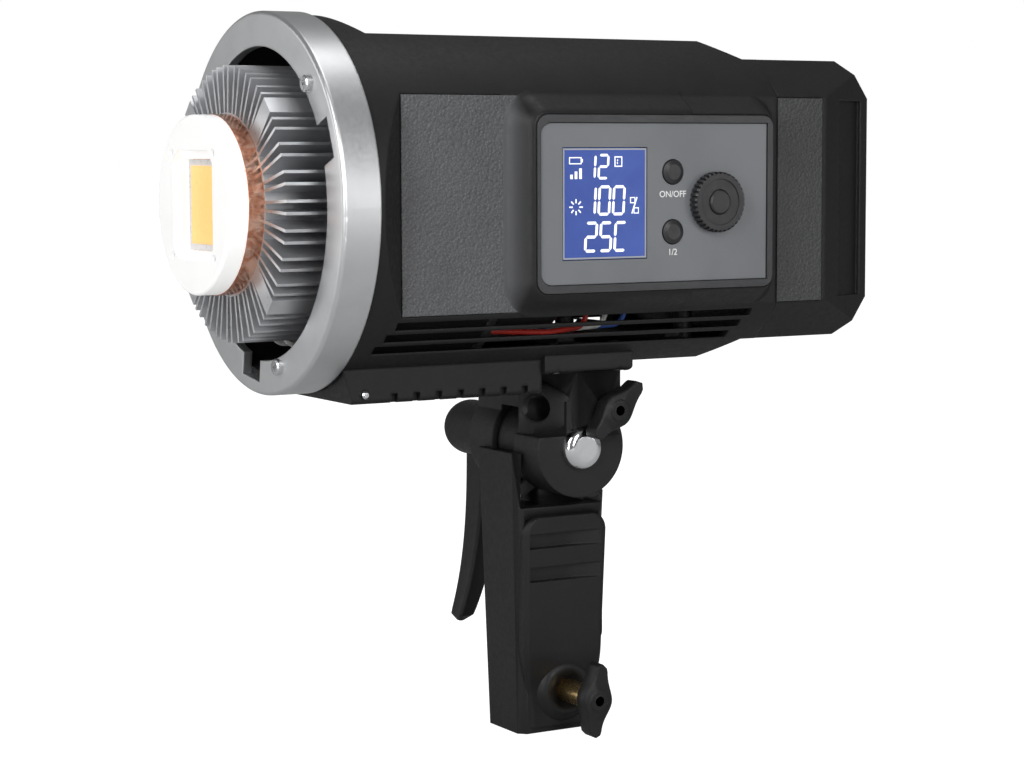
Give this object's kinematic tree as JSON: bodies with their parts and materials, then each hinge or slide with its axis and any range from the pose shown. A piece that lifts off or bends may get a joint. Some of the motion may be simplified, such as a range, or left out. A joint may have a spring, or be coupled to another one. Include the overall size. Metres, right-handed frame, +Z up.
{
  "type": "monolight studio light",
  "caption": "Monolight LED studio head with a bayonet accessory ring, exposed finned cooler, side control panel, rear battery pack and a tilting stand grip with umbrella hole.",
  "frame": {"origin": "centre of the stand socket's mouth, at the bottom of the grip", "axes": "+Z up along the stand socket, -Y the way the light faces, +X the side with the control panel"},
  "size_m": [0.1248, 0.241, 0.2458],
  "materials": {
    "black_shell": "fine moulded grain",
    "grained_pad": "leather grain",
    "dark_grained_pad": "leather grain",
    "bezel_black": "satin",
    "plate_grey": "satin",
    "display": "lit blue display",
    "button_grey": "satin",
    "circuit_board": "solder mask",
    "component_dark": "moulded",
    "ring_silver": "satin silver",
    "zinc_screw": "bright zinc",
    "black_screw": "black oxide",
    "sleeve_black": "matt",
    "fin_aluminium": "extruded",
    "copper": "polished copper",
    "holder_white": "white",
    "led_board_white": "ceramic white",
    "phosphor": "yellow silicone",
    "wire_white": "insulation",
    "wire_red": "insulation",
    "wire_blue": "insulation",
    "steel_plate": "plated sheet",
    "fan_black": "moulded",
    "cell_wrap": "heat shrink",
    "brass": "turned",
    "bolt_chrome": "polished",
    "casting_black": "semi-matt cast",
    "grip_black": "glass-filled nylon",
    "liner_steel": "bored",
    "washer_nylon": "nylon",
    "socket_black": "moulded"
  },
  "bodies": {
    "grip": {"grip_body": "grip_black", "socket_liner": "liner_steel", "friction_washers": "washer_nylon"},
    "head": {"housing_panel_side": "black_shell", "housing_far_side": "black_shell", "housing_screws": "black_screw", "side_pad_near": "grained_pad", "side_pad_far": "grained_pad", "control_bezel": "bezel_black", "control_plate": "plate_grey", "control_board": "circuit_board", "board_screws": "zinc_screw", "lcd_module": "display", "mount_ring": "ring_silver", "ring_screws": "zinc_screw", "inner_sleeve": "sleeve_black", "heatsink": "fin_aluminium", "copper_core": "copper", "led_holder": "holder_white", "led_screws": "zinc_screw", "led_board": "led_board_white", "led_phosphor": "phosphor", "led_wires": "wire_white", "chassis_plate": "steel_plate", "heatsink_screws": "zinc_screw", "fan_frame": "fan_black", "fan_screws": "zinc_screw", "driver_board": "circuit_board", "driver_screws": "zinc_screw", "driver_parts": "component_dark", "battery_socket": "socket_black", "contact_blades": "brass", "loom_wire_red": "wire_red", "loom_wire_white": "wire_white", "loom_wire_blue": "wire_blue", "base_rail": "black_shell", "tilt_yoke": "casting_black", "yoke_screws": "black_screw", "tilt_bolt": "bolt_chrome"},
    "power_button": {"power_button": "button_grey"},
    "group_button": {"group_button": "button_grey"},
    "dial": {"dial_wheel": "button_grey"},
    "set_button": {"set_button": "button_grey"},
    "fan_rotor": {"fan_rotor": "fan_black"},
    "lock_pin": {"lock_pin": "zinc_screw"},
    "battery": {"battery_case": "black_shell", "battery_pads": "dark_grained_pad", "battery_cells": "cell_wrap", "cell_tray": "fan_black", "charge_socket": "socket_black"},
    "battery_release_button": {"battery_release_button": "button_grey"},
    "umbrella_knob": {"umbrella_knob": "grip_black", "umbrella_screw": "brass"},
    "stand_knob": {"stand_knob": "grip_black", "stand_screw": "brass"},
    "tilt_lever": {"tilt_lever": "grip_black", "lever_insert": "brass"}
  },
  "joints": [
    {"name": "head_tilt", "type": "hinge", "parent": "grip", "child": "head", "pos_m": [0, 0, 0.1], "axis": [-1, 0, 0], "range_deg": [-35, 90]},
    {"name": "tilt_lever_turn", "type": "hinge", "parent": "head", "child": "tilt_lever", "pos_m": [-0.04, 0, 0.1], "axis": [1, 0, 0], "range_deg": [-45, 60]},
    {"name": "umbrella_knob_turn", "type": "hinge", "parent": "head", "child": "umbrella_knob", "pos_m": [0.03, 0.0082, 0.1134], "axis": [1, 0, 0], "continuous": true},
    {"name": "stand_knob_turn", "type": "hinge", "parent": "grip", "child": "stand_knob", "pos_m": [0.03, 0, 0.0145], "axis": [1, 0, 0], "continuous": true},
    {"name": "dial_turn", "type": "hinge", "parent": "head", "child": "dial", "pos_m": [0.06, 0.031, 0.1838], "axis": [1, 0, 0], "continuous": true},
    {"name": "set_press", "type": "slide", "parent": "head", "child": "set_button", "axis": [-1, 0, 0], "range_m": [0, 0.0008], "stiffness_N_per_m": 600},
    {"name": "power_press", "type": "slide", "parent": "head", "child": "power_button", "axis": [-1, 0, 0], "range_m": [0, 0.0008], "stiffness_N_per_m": 600},
    {"name": "group_press", "type": "slide", "parent": "head", "child": "group_button", "axis": [-1, 0, 0], "range_m": [0, 0.0008], "stiffness_N_per_m": 600},
    {"name": "fan_spin", "type": "hinge", "parent": "head", "child": "fan_rotor", "pos_m": [0, -0.0325, 0.1838], "axis": [0, 1, 0], "continuous": true},
    {"name": "lock_pin_press", "type": "slide", "parent": "head", "child": "lock_pin", "axis": [-1, 0, 0], "range_m": [0, 0.0015], "stiffness_N_per_m": 600},
    {"name": "battery_slide", "type": "slide", "parent": "head", "child": "battery", "axis": [0, 1, 0], "range_m": [0, 0.05]},
    {"name": "battery_release_press", "type": "slide", "parent": "battery", "child": "battery_release_button", "axis": [0, 0, -1], "range_m": [0, 0.0015], "stiffness_N_per_m": 600}
  ]
}
